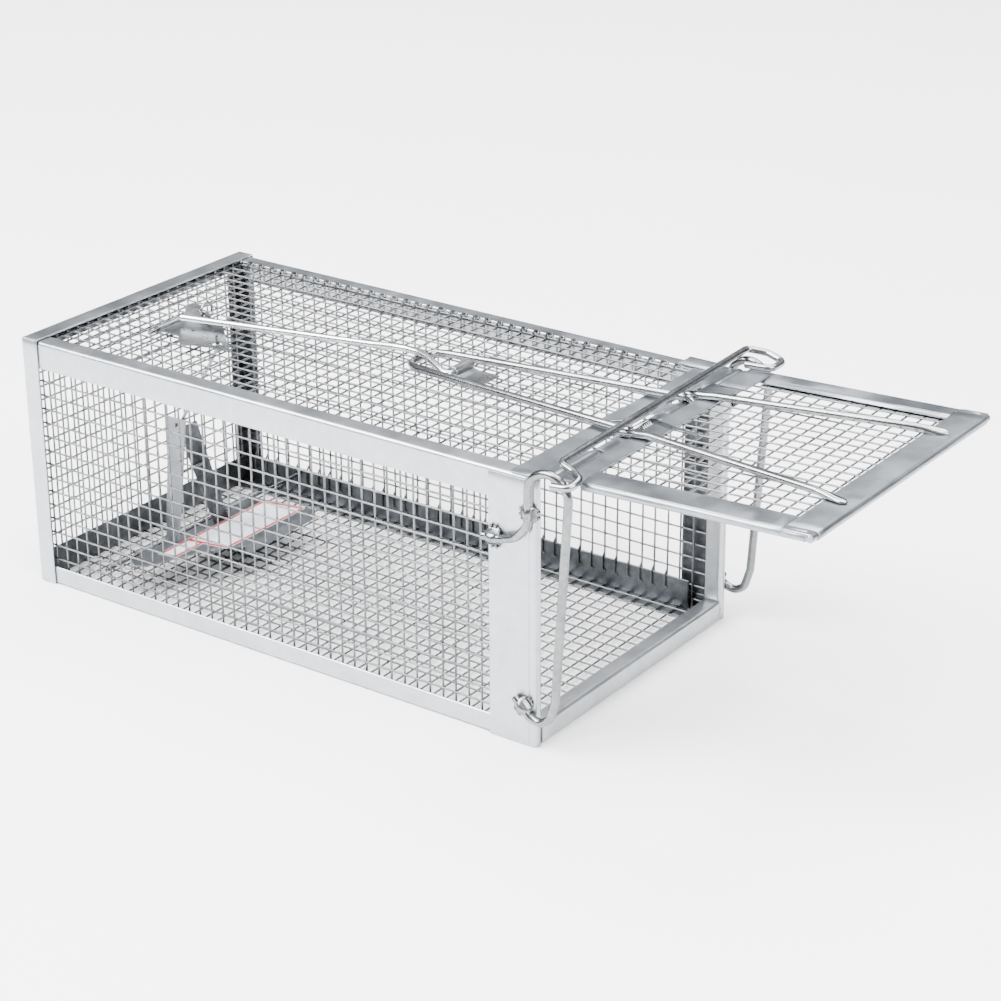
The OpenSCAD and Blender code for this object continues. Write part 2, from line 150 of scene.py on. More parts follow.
class Shape:
    """Vertices in the row frame and faces of one piece."""

    def __init__(self):
        self.verts, self.faces = [], []

    def add(self, verts, faces):
        base = len(self.verts)
        self.verts += verts
        self.faces += [[base + i for i in f] for f in faces]

    def tube(self, points, radius, place=cage, sides=16, scale=None):
        """Round bar along points, with rounded tips. scale(i) gives the bar's two half widths at point i."""
        pts = [Vector(p) for p in points]
        last = len(pts) - 1
        head, tail = (pts[0] - pts[1]).normalized(), (pts[-1] - pts[-2]).normalized()
        pts = [pts[0] + head * radius * TIP_REACH] + pts + [pts[-1] + tail * radius * TIP_REACH]
        rings = len(pts)
        verts = []
        n = Vector((0, 0, 1)) if abs(head.z) < 0.9 else Vector((1, 0, 0))
        for i, p in enumerate(pts):
            t = (pts[min(i + 1, rings - 1)] - pts[max(i - 1, 0)]).normalized()
            n = (n - t * n.dot(t)).normalized()
            m = t.cross(n)
            wide, high = scale(min(max(i - 1, 0), last)) if scale else (radius, radius)
            if i in (0, rings - 1):
                wide, high = wide * TIP_SIZE, high * TIP_SIZE
            for k in range(sides):
                a = 2 * math.pi * k / sides
                verts.append(place(*(p + m * math.cos(a) * wide + n * math.sin(a) * high)))
        faces = bands(rings, sides)
        faces.append(list(range(sides))[::-1])
        faces.append([(rings - 1) * sides + k for k in range(sides)])
        self.add(verts, faces)

    def sheet(self, line, start, end, place, thick=SHEET, bend=1.2, wave=0.05, seed=0, step=5.0):
        """Slightly uneven sheet strip from start to end. line is its section, on the middle of the sheet."""
        path = rounded(flat(line), bend)
        count = len(path)
        normals = []
        for i in range(count):
            t = (path[min(i + 1, count - 1)] - path[max(i - 1, 0)]).normalized()
            normals.append(Vector((-t.y, t.x, 0)))
        head = (path[0] - path[1]).normalized()
        tail = (path[-1] - path[-2]).normalized()
        rim = 0.2  # depth of the softened long edges
        cuts = max(2, math.ceil((end - start) / step))
        spots = [start, start + EDGE_REACH]
        spots += [start + (end - start) * k / cuts for k in range(1, cuts)]
        spots += [end - EDGE_REACH, end]
        verts = []
        for j, s in enumerate(spots):
            half = thick / 2 * (EDGE_SIZE if j in (0, len(spots) - 1) else 1)
            ring_l, ring_r = [], []
            for i, p in enumerate(path):
                lift = wave * noise.noise(Vector((s * 0.035, i * 0.35 + seed * 7.3, seed * 3.1)))
                centre = p + normals[i] * lift
                if i == 0:
                    centre = centre - head * rim
                if i == count - 1:
                    centre = centre - tail * rim
                ring_l.append(centre + normals[i] * half)
                ring_r.append(centre - normals[i] * half)
            ends = [path[-1] + normals[-1] * half * 0.5, path[-1] - normals[-1] * half * 0.5]
            starts = [path[0] - normals[0] * half * 0.5, path[0] + normals[0] * half * 0.5]
            for q in ring_l + ends + ring_r[::-1] + starts:
                verts.append(place(q.x, q.y, s))
        size = 2 * count + 4
        faces = bands(len(spots), size)
        for base in (0, (len(spots) - 1) * size):
            for i in range(count - 1):
                right = base + size - 3 - i
                faces.append([base + i, base + i + 1, right - 1, right])
            faces.append([base + count - 1, base + count, base + count + 1, base + count + 2])
            faces.append([base + size - 3, base + size - 2, base + size - 1, base])
        self.add(verts, faces)

    def plate(self, outline, place, low, high, chamfer=0.18):
        """Flat plate from low to high over a closed outline given as (a, b) pairs."""
        pts = flat(outline)
        count = len(pts)
        area = sum(p.x * q.y - q.x * p.y for p, q in zip(pts, pts[1:] + pts[:1]))
        inset = []
        for i in range(count):
            u = (pts[i] - pts[i - 1]).normalized()
            v = (pts[(i + 1) % count] - pts[i]).normalized()
            n = Vector((-(u.y + v.y), u.x + v.x, 0)).normalized()
            inset.append(pts[i] + n * (chamfer if area > 0 else -chamfer))
        verts = []
        for level, loop in ((low, inset), (low + chamfer, pts), (high - chamfer, pts), (high, inset)):
            verts += [place(p.x, p.y, level) for p in loop]
        faces = bands(4, count)
        faces.append(list(range(count))[::-1])
        faces.append([3 * count + k for k in range(count)])
        self.add(verts, faces)

    def blob(self, x, y, z, wide, high, place, turn):
        """Small round lump, such as a weld, of two rings of six points between two tips."""
        verts = [place(x, y, z - high)]
        for level in (-0.55, 0.55):
            for k in range(6):
                a = turn + math.pi * k / 3
                reach = wide * 0.85
                verts.append(place(x + reach * math.cos(a), y + reach * math.sin(a), z + high * level))
        verts.append(place(x, y, z + high))
        faces = [[0, 1 + (k + 1) % 6, 1 + k] for k in range(6)]
        faces += [[1 + k, 1 + (k + 1) % 6, 7 + (k + 1) % 6, 7 + k] for k in range(6)]
        faces += [[7 + k, 7 + (k + 1) % 6, 13] for k in range(6)]
        self.add(verts, faces)

    def piece(self, name, body, material, replaces=(), sharp=35, inner=None):
        """Make the object and hang it on its body. inner(normal, centre) picks the faces that get the
        near-black zinc of painted shade.
        """
        mesh = bpy.data.meshes.new(name)
        mesh.from_pydata([tuple(v) for v in self.verts], [], self.faces)
        bm = bmesh.new()
        bm.from_mesh(mesh)
        bmesh.ops.recalc_face_normals(bm, faces=bm.faces)
        bm.to_mesh(mesh)
        bm.free()
        mesh.polygons.foreach_set("use_smooth", [True] * len(mesh.polygons))
        mesh.set_sharp_from_angle(angle=math.radians(sharp))
        mesh.materials.append(material)
        if inner:
            mesh.materials.append(ZINC_INNER_SHADE)
            for face in mesh.polygons:
                face.material_index = int(inner(face.normal, face.center))
        obj = bpy.data.objects.new(name, mesh)
        bpy.context.scene.collection.objects.link(obj)
        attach(obj, body)
        if replaces:
            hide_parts(*replaces)


# ---------------------------------------------------------------- materials

def material(name, build):
    """Principled material whose nodes are made by build(nodes, links, shader)."""
    mat = bpy.data.materials.new(name)
    mat.use_nodes = True
    nodes, links = mat.node_tree.nodes, mat.node_tree.links
    nodes.clear()
    out = nodes.new("ShaderNodeOutputMaterial")
    shader = nodes.new("ShaderNodeBsdfPrincipled")
    links.new(shader.outputs["BSDF"], out.inputs["Surface"])
    build(nodes, links, shader)
    return mat


def noise_node(nodes, links, coords, scale, detail, rough):
    """Noise over object coordinates."""
    tex = nodes.new("ShaderNodeTexNoise")
    tex.inputs["Scale"].default_value = scale
    tex.inputs["Detail"].default_value = detail
    tex.inputs["Roughness"].default_value = rough
    links.new(coords.outputs["Object"], tex.inputs["Vector"])
    return tex.outputs["Fac"]


def ramp(nodes, links, fac, low, high, colour_a, colour_b):
    """Colour that goes from colour_a at low to colour_b at high."""
    node = nodes.new("ShaderNodeValToRGB")
    node.color_ramp.elements[0].position = low
    node.color_ramp.elements[1].position = high
    node.color_ramp.elements[0].color = (*colour_a, 1)
    node.color_ramp.elements[1].color = (*colour_b, 1)
    links.new(fac, node.inputs["Fac"])
    return node.outputs["Color"]


def remap(nodes, links, fac, low, high):
    """The middle of a noise's range spread from low to high."""
    node = nodes.new("ShaderNodeMapRange")
    node.inputs["From Min"].default_value = 0.3
    node.inputs["From Max"].default_value = 0.7
    node.inputs["To Min"].default_value = low
    node.inputs["To Max"].default_value = high
    links.new(fac, node.inputs["Value"])
    return node.outputs["Result"]


def maths(nodes, links, operation, *values):
    """Result of a Math node on numbers and sockets."""
    node = nodes.new("ShaderNodeMath")
    node.operation = operation
    for k, v in enumerate(values):
        if isinstance(v, (int, float)):
            node.inputs[k].default_value = v
        else:
            links.new(v, node.inputs[k])
    return node.outputs[0]


def zinc(name, dark, light, rough, bump=0.15, spangle=220):
    """Zinc coat: cloudy tone, fine grain, and a slightly uneven sheen."""
    def build(nodes, links, shader):
        coords = nodes.new("ShaderNodeTexCoord")
        cloud = noise_node(nodes, links, coords, 45, 4, 0.6)
        grain = noise_node(nodes, links, coords, spangle, 3, 0.6)
        tone = maths(nodes, links, "MULTIPLY_ADD", grain, 0.45, maths(nodes, links, "MULTIPLY", cloud, 0.55))
        links.new(ramp(nodes, links, tone, 0.35, 0.65, dark, light), shader.inputs["Base Color"])
        links.new(remap(nodes, links, cloud, rough - 0.06, rough + 0.07), shader.inputs["Roughness"])
        shader.inputs["Metallic"].default_value = 1
        fine = noise_node(nodes, links, coords, 900, 4, 0.7)
        lump = nodes.new("ShaderNodeBump")
        lump.inputs["Strength"].default_value = bump
        lump.inputs["Distance"].default_value = 0.0002
        links.new(fine, lump.inputs["Height"])
        links.new(lump.outputs["Normal"], shader.inputs["Normal"])
    return material(name, build)


ZINC_SHEET = zinc("zinc_sheet", (0.35, 0.367, 0.386), (0.45, 0.468, 0.487), 0.34)
# painted shade: a darker copy of the sheet zinc for the top strips, door rails, flap, treadle plate and yoke
# leg, standing in for the shade on their tops
ZINC_TOP_SHADE = zinc("zinc_top_painted_shade", (0.225, 0.24, 0.26), (0.3, 0.318, 0.34), 0.38)
# painted shade: a near-black copy of the zinc for faces inside the cage, the inner strips and the clip slots,
# standing in for the shade there
ZINC_INNER_SHADE = zinc("zinc_inner_painted_shade", (0.03, 0.033, 0.037), (0.15, 0.16, 0.17), 0.42, spangle=150)
MESH_ZINC = zinc("mesh_zinc", (0.075, 0.078, 0.082), (0.2, 0.206, 0.213), 0.32, spangle=400)
BRIGHT = zinc("bright_zinc", (0.19, 0.196, 0.202), (0.32, 0.327, 0.335), 0.22, bump=0.08, spangle=500)
GUIDE_ZINC = zinc("guide_zinc", (0.11, 0.115, 0.12), (0.22, 0.225, 0.23), 0.2, bump=0.08, spangle=500)
CLIP_ZINC = zinc("clip_zinc", (0.05, 0.053, 0.056), (0.26, 0.27, 0.28), 0.24, bump=0.2, spangle=700)
WHITE_ROD = zinc("white_rod", (0.5, 0.51, 0.52), (0.66, 0.67, 0.68), 0.24, bump=0.06, spangle=500)
STAMPED = zinc("stamped_zinc", (0.17, 0.18, 0.19), (0.34, 0.352, 0.365), 0.3)


# ---------------------------------------------------------------- welded mesh

def mesh_lines(width):
    """Centres of the wires across a panel of that width."""
    border = 3
    count = math.floor((width - 2 * border) / PITCH)
    side = (width - count * PITCH - MESH_WIRE) / 2
    return [side + MESH_WIRE / 2 + i * PITCH for i in range(count + 1)]


def welded_mesh(name, body, place, width, height, node, seed):
    """Panel of round wires with a weld at each crossing. place takes (u, v, n) with n outwards."""
    rng = random.Random(seed)
    stray = 0.16  # how far a wire may lie from its line
    sway = 0.25  # how far the panel wanders in its plane and out of it
    gap = 0.36  # from the middle of the panel to each layer of wires
    margin = 0.4  # from a wire's tip to the edge of the panel
    us, vs = mesh_lines(width), mesh_lines(height)
    ju = [rng.uniform(-stray, stray) for _ in us]
    jv = [rng.uniform(-stray, stray) for _ in vs]

    def at(u, v, layer):
        q = Vector((u * 0.018, v * 0.018, seed * 3.7))
        return Vector((u + sway * noise.noise(q), v + sway * noise.noise(q + Vector((9, 4, 1))),
                       layer + sway * noise.noise(q * 1.3 + Vector((2, 8, 5)))))

    shape = Shape()
    for u, j in zip(us, ju):
        stops = [margin] + [v + k for v, k in zip(vs, jv)] + [height - margin]
        shape.tube([at(u + j, v, -gap) for v in stops], MESH_WIRE / 2, place, sides=8)
    for v, j in zip(vs, jv):
        stops = [margin] + [u + k for u, k in zip(us, ju)] + [width - margin]
        shape.tube([at(u, v + j, gap) for u in stops], MESH_WIRE / 2, place, sides=8)
    for u, j in zip(us, ju):
        for v, k in zip(vs, jv):
            size = rng.uniform(0.55, 0.72)
            p = at(u + j, v + k, rng.uniform(-0.08, 0.08))
            shape.blob(*p, size, rng.uniform(0.5, 0.62), place, rng.uniform(0, 1))
    shape.piece(name, body, MESH_ZINC, [node], sharp=60)


RAIL_START, RAIL_END = 3.6, 261.5  # ends of the long rails; the side and roof panels start with them
SIDE_WIDTH = 257.9
ROOF_WIDTH = 249.9
for tag, side in SIDES:
    welded_mesh(f"{tag}_side_wires", "cage",
                lambda u, v, n, side=side: cage(RAIL_START + u, side * (67.2 + n), 0.9 + v),
                SIDE_WIDTH, 110.2, f"{tag}_side_mesh", 11 + side)
welded_mesh("floor_wires", "cage", lambda u, v, n: cage(4.5 + u, -65.3 + v, 1.8 + n), 253, 130.6,
            "floor_mesh", 21)
welded_mesh("roof_wires", "cage", lambda u, v, n: cage(RAIL_START + u, -66.2 + v, 110.2 + n),
            ROOF_WIDTH, 132.4, "top_mesh", 31)
welded_mesh("rear_wires", "cage", lambda u, v, n: cage(1.8 - n, -68.9 + u, 0.9 + v), 137.8, 111.1,
            "rear_mesh", 41)
welded_mesh("door_wires", "door", lambda u, v, n: door(5.3 + u, -64.2 + v, 0.6 + n), 100.7, 128.4,
            "door_mesh", 51)


END_WIRE_R = 0.42
rng = random.Random(7)
s = Shape()
for u in mesh_lines(SIDE_WIDTH):
    x, low = RAIL_START + u + rng.uniform(-0.3, 0.3), rng.uniform(6.6, 8.2)
    if x > 242:
        continue
    s.tube([(x, 66.7, 16), (x, 65.6, 14.75), (x, 64.95, 13.2), (x, 64.93, low + 1.2),
            (x + 0.4, 64.93, low + 0.3), (x + 1.3, 64.93, low)], END_WIRE_R, sides=8)
s.piece("far_side_wire_ends", "cage", MESH_ZINC)

s = Shape()
for u in mesh_lines(ROOF_WIDTH):
    x, wide = RAIL_START + u + rng.uniform(-0.3, 0.3), rng.uniform(1.8, 3.0)
    if x > 246:
        continue
    hook = [(x, 59.6, 110.9), (x, 60.9, 112.5), (x + wide, 61.1, 112.5), (x + wide + 0.3, 60, 111.6)]
    s.tube(rounded(hook, 0.8), END_WIRE_R, sides=8)
s.piece("far_roof_wire_ends", "cage", MESH_ZINC)


# ---------------------------------------------------------------- cage sheet parts

def faces_inside(normal, centre):
    """True for a face that looks into the cage from one of its walls; such faces get the near-black zinc of
    painted shade.
    """
    if centre.z > 0.1105:
        return False
    from_side = normal.y * centre.y < -0.5 * abs(centre.y)
    from_rear = normal.x > 0.7 and centre.x < REAR + 8 * MM
    return from_side or from_rear


WALL = 68.6  # middle of a side rail's sheet
OUTER = 69.5  # middle of the sheet that lies over the side rails
FRONT = 264.6  # middle of the sheet at the front
FOOT = 0.4  # middle of the lowest sheet
ROOF = 112.5  # middle of the highest sheet
POST_START = 248.9  # the rails' folded legs end at the posts
for tag, side in SIDES:
    s = Shape()
    s.sheet([(WALL, 100), (WALL, 111.6), (61, 111.6)], RAIL_START, RAIL_END, along_x(side=side), seed=1)
    s.piece(f"{tag}_top_rail_sheet", "cage", ZINC_SHEET, [f"{tag}_top_rail"])
    s = Shape()
    leg = 14 if side > 0 else 6  # the near side's inner leg is no higher than its outer one
    s.sheet([(WALL, 8), (WALL, FOOT), (65.8, FOOT), (65.8, leg)], RAIL_START, POST_START, along_x(side=side),
            seed=2, bend=0.8)
    s.sheet([(WALL, 8), (WALL, FOOT)], POST_START, RAIL_END, along_x(side=side), seed=3)
    s.sheet([(65.4, FOOT), (58, FOOT)], RAIL_START, POST_START, along_x(side=side), seed=4)
    # its faces inside the cage and the upper faces of its inner flange get the near-black zinc of painted
    # shade
    s.piece(f"{tag}_bottom_rail_sheet", "cage", ZINC_SHEET, [f"{tag}_bottom_rail"],
            inner=lambda n, c: faces_inside(n, c) or abs(c.y) < 66.4 * MM and c.z > MM)
    s = Shape()
    bead = arc(262.75, 67.65, 1.85, 90, -90, 10)
    groove = [(260.9, OUTER), (261.4, 69.05), (261.9, 69.4)]
    s.sheet([(243, OUTER)] + groove + bead[1:] + [(257, 65.8)], 0, 111.0, along_z(side), seed=5, bend=0.3)
    s.piece(f"{tag}_post_sheet", "cage", ZINC_SHEET, [f"{tag}_front_post"],
            inner=lambda n, c: faces_inside(n, c) and c.x < REAR + 256.8 * MM)

s = Shape()
for side in (-1, 1):
    s.sheet([(9, OUTER), (0.4, OUTER), (0.4, 66.5)], 0, 112.2, along_z(side), seed=6)
s.sheet([(9, ROOF), (0.4, ROOF), (0.4, 109.5)], -69.3, 69.3, along_y(), seed=7)
for y0, y1, z0, z1 in ((-67, 67, 0, 8), (-67, -61, 8, 110), (61, 67, 8, 110), (-61, 61, 104, 110)):
    s.plate([(y0, z0), (y0, z1), (y1, z1), (y1, z0)], facing_x, 0, SHEET)
s.piece("rear_cap_sheet", "cage", ZINC_SHEET, ["rear_cap"], inner=faces_inside)

s = Shape()
s.sheet([(249, FOOT), (FRONT, FOOT), (FRONT, 8.6), (258, 8.6)], -65.3, 65.3, along_y(), seed=8)
s.piece("sill_sheet", "cage", ZINC_SHEET, ["front_sill"])

KNUCKLE = 1.98  # radius of a knuckle on the middle of its sheet

s = Shape()
s.sheet([(252.4, ROOF), (FRONT, ROOF)], -69, 69, along_y(), seed=9)
for y0, y1 in ((-66, -38), (8, 20), (46, 66)):
    curl = arc(HINGE.x, HINGE.z, KNUCKLE, 128, -150, 18)
    s.sheet([(264.0, ROOF), (266.2, 112.8)] + curl, y0, y1, along_y(), thick=CURL_SHEET, bend=0.3,
            seed=10 + y0)
s.sheet([(245, 113.3), (261, 113.3)], 60, 69, along_y(), seed=12)
s.piece("top_front_strip_sheet", "cage", ZINC_TOP_SHADE, ["top_front_strip"])

s = Shape()
s.tube([(HINGE.x, -66.5, HINGE.z), (HINGE.x, 66.5, HINGE.z)], 1.5)
s.piece("hinge_rod_bar", "cage", BRIGHT, ["hinge_rod"])

# ---------------------------------------------------------------- guide wires

GUIDE_Y = 71.75  # from the middle of the cage to a guide wire's middle
GUIDE_R = 1.75
GUIDE_X = 262.6  # the stretch that rises into the arch
ARCH_R = 9
ARCH_X, ARCH_Z = GUIDE_X + ARCH_R, 116.6 - ARCH_R
for tag, side in SIDES:
    tail = rounded([(242, 0, 84.7), (250, 0, 85.3), (257, 0, 87.5), (GUIDE_X, 0, 93.8),
                    (GUIDE_X, 0, ARCH_Z)], 6)
    bow = [(x, 0, z) for x, z in arc(ARCH_X, ARCH_Z, ARCH_R, 180, -4, 18)]
    leg = rounded([(ARCH_X + ARCH_R, 0, ARCH_Z - 0.7), (275.1, 0, 24), (272.5, 0, 15.5), (268, 0, 12.5),
                   (263, 0, 14), (256.5, 0, 20.5)], 5)
    s = Shape()
    s.tube([(x, side * GUIDE_Y, z) for x, _, z in tail[:-1] + bow + leg[1:]], GUIDE_R)
    s.piece(f"{tag}_guide_bar", "cage", GUIDE_ZINC, [f"{tag}_guide_wire"])


def spun(x, z, turn, a, b):
    """The point a, b of a plane turned about x, z."""
    return x + a * math.cos(turn) - b * math.sin(turn), z + a * math.sin(turn) + b * math.cos(turn)


CLIP_BASE = 69.95  # where a clip sits, just off the post's outer face


def saddle(s, x, z, turn, side):
    """Domed clip pressed over a guide wire that runs at angle turn, with a rivet at each corner."""
    skin = 0.75
    rise = GUIDE_Y + GUIDE_R - CLIP_BASE
    rings, spokes = 9, 28
    outer, inner = [], []
    for f in [i / rings for i in range(1, rings + 1)]:
        for k in range(spokes):
            t = 2 * math.pi * k / spokes
            a, b = 3.7 * f * math.cos(t), 4.7 * f * math.sin(t)
            over = max(0.0, 1 - (abs(b) / 3.3) ** 2.2) * (1 - 0.35 * (abs(a) / 3.2) ** 2)
            h = CLIP_BASE + skin + rise * max(0.0, over) - 0.35 * f ** 6
            u, v = spun(x, z, turn, a, b)
            outer.append(cage(u, side * h, v))
            inner.append(cage(u, side * max(CLIP_BASE, h - skin), v))
    under, last = rings * spokes, (rings - 1) * spokes
    faces = []
    for face in bands(rings, spokes):
        faces += [face, [under + q for q in face][::-1]]
    faces.append(list(range(spokes))[::-1])
    faces.append([under + k for k in range(spokes)])
    for k in range(spokes):
        m = (k + 1) % spokes
        faces.append([last + k, last + m, under + last + m, under + last + k])
    s.add(outer + inner, faces)
    for b in (-4.3, 4.3):
        for a in (-1.1, 1.1):
            u, v = spun(x, z, turn, a, b)
            s.blob(u, v, CLIP_BASE + 0.9, 0.75, 0.45, lambda p, q, h: cage(p, side * h, q), turn)


def slots(s, x, z, turn, side):
    """Dark bars of painted shade that stand for the slots on both sides of the wire under a clip."""
    for b in (-2.15, 2.15):
        spots = [spun(x, z, turn, a, b) for a in (-2, -0.7, 0.7, 2)]
        s.tube([(u, side * 72.75, v) for u, v in spots], 0.5, sides=8)


CLIPS = ((246.2, 85, 4.3), (GUIDE_X, 98.6, 90), (259.8, 17.2, -45))  # X, Z and the wire's angle in degrees
for tag, side in SIDES:
    s = Shape()
    for x, z, turn in CLIPS:
        saddle(s, x, z, math.radians(turn), side)
    s.piece(f"{tag}_saddle_clips", "cage", CLIP_ZINC, [f"{tag}_guide_clips"], sharp=50)
    s = Shape()
    for x, z, turn in CLIPS:
        slots(s, x, z, math.radians(turn), side)
    s.piece(f"{tag}_clip_slot_shade", "cage", ZINC_INNER_SHADE)


# ---------------------------------------------------------------- door

DOOR_TOP = 2.0  # middle of the door's upper sheet
for tag, side, inner in (("near", -1, 54.7), ("far", 1, 57.7)):
    s = Shape()
    edge = [(59.7, -0.8)] + arc(67.0, 0.6, 1.4, -90, 90, 10)
    flange = [(inner + 2.5, DOOR_TOP), (inner + 1, 1.75), (inner, 1.3)]
    for line, start, end in ((edge + flange, 13.3, 96.8), (edge + [(65.6, DOOR_TOP)], 96.8, 106.3)):
        s.sheet(line, start, end, along_x(door, side), seed=15 + side, bend=0.3, wave=0.12)
    s.plate([(96.6, 64.4), (96.9, 67.3), (99, 68.4), (108.6, 68.5), (108.9, 67.9), (108.9, 64.4)],
            lambda a, b, z, side=side: door(a, side * b, z), 1.85, 2.38)
    s.tube([(104, side * 66.9, 0.62), (108.1, side * 66.9, 0.62)], 1.6, door, sides=12)
    s.tube([(108.2, side * 60, 0.65), (108.2, side * 68.2, 0.65)], 1.6, door, sides=12)
    s.piece(f"door_{tag}_rail_sheet", "door", ZINC_TOP_SHADE, [f"door_{tag}_rail"])

s = Shape()
s.sheet([(97, -0.8)] + arc(108.5, 0.6, 1.4, -90, 90, 8) + [(97, DOOR_TOP)], -64.7, 64.7, along_y(door),
        seed=17, bend=0.3, wave=0.1)
s.piece("door_free_rail_sheet", "door", ZINC_TOP_SHADE, ["door_free_rail"])

s = Shape()
s.sheet([(4, DOOR_TOP), (13, DOOR_TOP)], -68.7, 68.7, along_y(door), seed=18)
for y0, y1 in ((-37.6, -23), (-1, 7.6), (31.5, 45.6)):
    s.sheet([(4.4, DOOR_TOP), (0.6, KNUCKLE)] + arc(0, 0, KNUCKLE, 95, 385, 18), y0, y1, along_y(door),
            thick=CURL_SHEET, bend=0.3, seed=19 + y0)
s.sheet([(4, 2.9), (16, 2.9)], 43.7, 62.7, along_y(door), seed=20)
s.piece("door_hinge_strip_sheet", "door", ZINC_TOP_SHADE, ["door_hinge_strip", "door_corner_lap"])


# ---------------------------------------------------------------- lever, spring, bars

LEVER_R = 1.6
EYE_R = 3.2  # radius of an eye round the hinge rod, on the middle of the wire


def eye(y, hand):
    """One turn round the hinge rod, from the door's side of the eye to the arm's side."""
    pitch, steps = 3.4, 24
    out = []
    for k in range(steps + 1):
        a = math.radians(90 + 360 * k / steps)
        out.append((EYE_R * math.cos(a), y + hand * (-pitch / 2 + pitch * k / steps), EYE_R * math.sin(a)))
    return out


U_X, U_Z = -114.34, 6.19  # the lever's U end on the door's axes
near_tip = [(105.6, -38.3, 3.15), (104.7, -38.1, 3.2), (103, -37.8, 3.3), (100.5, -37.4, 3.5),
            (97, -36.8, 3.85), (92, -35.8, 4.2)]
far_tip = [(x, -y + 2.1 * x / 105, z) for x, y, z in near_tip]
# half widths of the flattened tips, from the end of the wire
paddle = [(1.0, 0.6), (1.8, 0.85), (2.0, 0.95), (1.9, 1.15), (1.7, 1.4)]
u_end = rounded([(U_X + 7, -7.6, U_Z), (U_X + 1.8, -4.8, U_Z), (U_X, -1.5, U_Z), (U_X, 8.5, U_Z),
                 (U_X + 1.8, 11.8, U_Z), (U_X + 7, 13.3, U_Z)], 4)
lever = (near_tip + [(12, -20.6, 4.3)] + eye(-18.5, 1) + [tuple(p) for p in u_end] + eye(26.5, -1)[::-1]
         + [(12, 28.6, 4.3)] + far_tip[::-1])


def lever_width(i):
    """Half widths of the lever at its point i: flattened at both tips."""
    end = min(i, len(lever) - 1 - i)
    return paddle[end] if end < len(paddle) else (LEVER_R, LEVER_R)


s = Shape()
s.tube(lever, LEVER_R, door, scale=lever_width)
s.piece("lever_bar", "door", BRIGHT, ["lever_wire"])

s = Shape()
turns, coil_r, spring_r = 9, 2.35, 0.5
sweep = 2 * math.pi * turns
coil = [(HINGE.x + coil_r * math.cos(a), -13.6 + 11.7 * a / sweep, HINGE.z + coil_r * math.sin(a))
        for a in [sweep * k / (turns * 16) for k in range(turns * 16 + 1)]]
s.tube(coil, spring_r, sides=8)
s.piece("spring_coil", "cage", BRIGHT, ["door_spring"])

s = Shape()
s.tube(rounded([(0, -2.0, 2.45), (3, -2.6, 3.3), (14.7, -5.9, 3.1), (26, -6.8, 2.75)], 3), spring_r, door,
       sides=8)
s.piece("spring_leg", "door", BRIGHT)

s = Shape()
s.plate([(254.4, -10.0), (262.5, -3.9), (263.4, -2.4), (263.4, 6.6), (252.6, 6.6), (252.6, -8.4)], cage,
        112.95, 113.5)
s.piece("front_strip_flap", "cage", ZINC_TOP_SHADE)

LOCK_Z = HINGE.z + 7.13  # height of the lock bar's wire
LOCK_FRONT = 284.8  # foremost stretch of its hooks
bar_x = HINGE.x - 2
lock_line = [(LOCK_FRONT - 7.8, -77.3, LOCK_Z - 4.3), (LOCK_FRONT, -76.7, LOCK_Z - 3.7),
             (LOCK_FRONT, -70.5, LOCK_Z - 2.1), (LOCK_FRONT - 5, -67.4, LOCK_Z - 1.3),
             (bar_x + 4.4, -65.5, LOCK_Z - 0.1), (bar_x + 0.2, 74.3, LOCK_Z + 0.8),
             (bar_x + 8, 77.3, LOCK_Z - 0.3), (LOCK_FRONT, 76, LOCK_Z - 2), (LOCK_FRONT, 66.55, LOCK_Z - 2.1),
             (bar_x + 5.2, 65.15, LOCK_Z - 2.2)]
s = Shape()
s.tube(rounded(lock_line, 3.2, 8), 1.5)
s.piece("lock_bar_wire", "lock_bar", BRIGHT, ["lock_bar"])

ROD_X, ROD_Z = 177, 114.2  # line about which the hold-down rod turns

s = Shape()
run = [(48.5, -22.4, 117.3), (136, -1.8, 117.3), (144.5, 1.0, 117.3), (150, 1.9, 117.3), (156, 1.5, 117.25),
       (161, 0.2, 117), (167.5, -2.4, 115.9), (174, -5.2, 114.7)]
crank = [run[-1], (ROD_X, -5.5, ROD_Z), (ROD_X, 8.6, ROD_Z)]
s.tube(rounded(run, 9, 8)[:-1] + rounded(crank, 1.8, 8), 1.45)
s.piece("hold_down_bar", "hold_down_rod", WHITE_ROD, ["hold_down_rod"])

s = Shape()
tunnel = arc(ROD_X, ROD_Z, 1.97, -35, 215, 16)
s.sheet([(191.8, 112.05), (181.6, 112.1), (179.9, 112.5)] + tunnel + [(174.3, 112.2), (173.2, 112.05)],
        -2.9, 9.1, along_y(), thick=0.76, bend=0.5, wave=0.28, seed=61, step=0.9)
s.piece("rod_bracket_sheet", "cage", STAMPED, ["rod_bracket"])


# ---------------------------------------------------------------- CAD nodes kept as they are

def paint(node, mat):
    """Give a CAD node that is kept its material."""
    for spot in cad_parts[node].material_slots:
        spot.material = mat


# rear_inner_strip and yoke_arm take the near-black zinc of painted shade; treadle_plate and yoke_leg take the
# darker zinc of painted shade
for node, mat in (("rear_inner_strip", ZINC_INNER_SHADE), ("yoke_arm", ZINC_INNER_SHADE),
                  ("catch_plate", STAMPED), ("treadle_plate", ZINC_TOP_SHADE), ("yoke_leg", ZINC_TOP_SHADE),
                  ("catch_pivot_wire", BRIGHT), ("catch_ring", BRIGHT), ("trigger_link", BRIGHT),
                  ("treadle_hinge_wire", BRIGHT), ("yoke_cross_wire", BRIGHT)):
    paint(node, mat)


